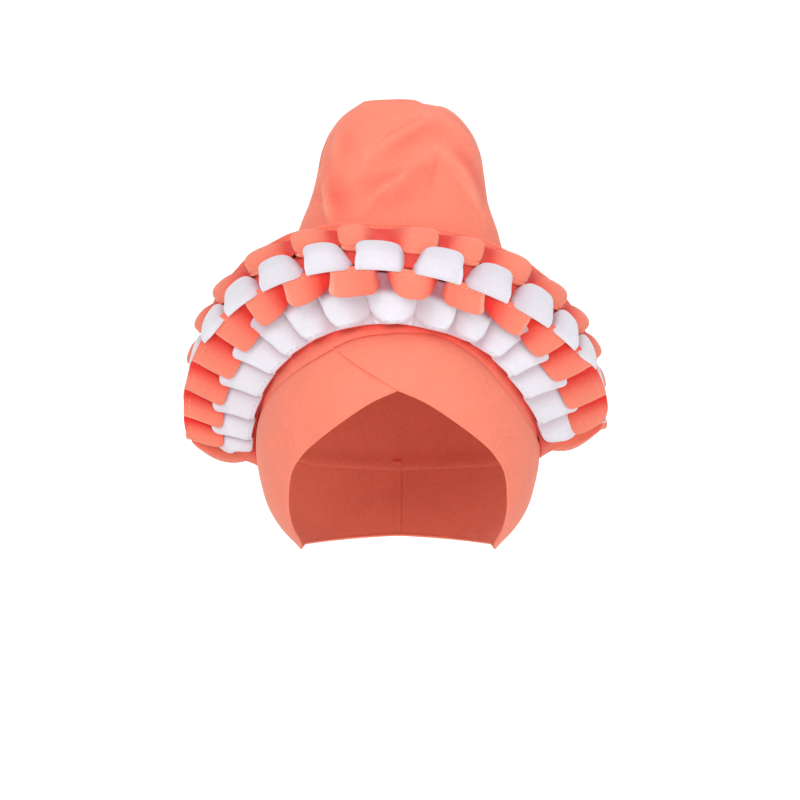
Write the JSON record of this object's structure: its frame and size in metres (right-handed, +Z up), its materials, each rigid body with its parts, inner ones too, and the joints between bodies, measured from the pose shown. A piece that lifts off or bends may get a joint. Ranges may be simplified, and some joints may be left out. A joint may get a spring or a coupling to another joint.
{
  "type": "turban cap",
  "caption": "Soft turban cap with a crossed forehead band, a tall rounded crown and a horseshoe brim covered in rows of looped ribbon.",
  "frame": {"origin": "crown of the wearer's head, where the cap sits on it", "axes": "+Z up, -Y the way the wearer looks, +X to the wearer's left"},
  "size_m": [0.2658, 0.2099, 0.2798],
  "materials": {
    "coral_cloth": "soft coral stretch cloth",
    "white_cloth": "soft white stretch cloth"
  },
  "bodies": {
    "root": {"cap_body": "coral_cloth", "crown_tower": "coral_cloth", "band_left": "coral_cloth", "band_right": "coral_cloth", "brim_base": "coral_cloth", "loops_white_front": "white_cloth", "loops_coral_front": "coral_cloth", "loops_white_back": "white_cloth", "loops_coral_back": "coral_cloth", "rim_tape": "coral_cloth"}
  },
  "joints": []
}
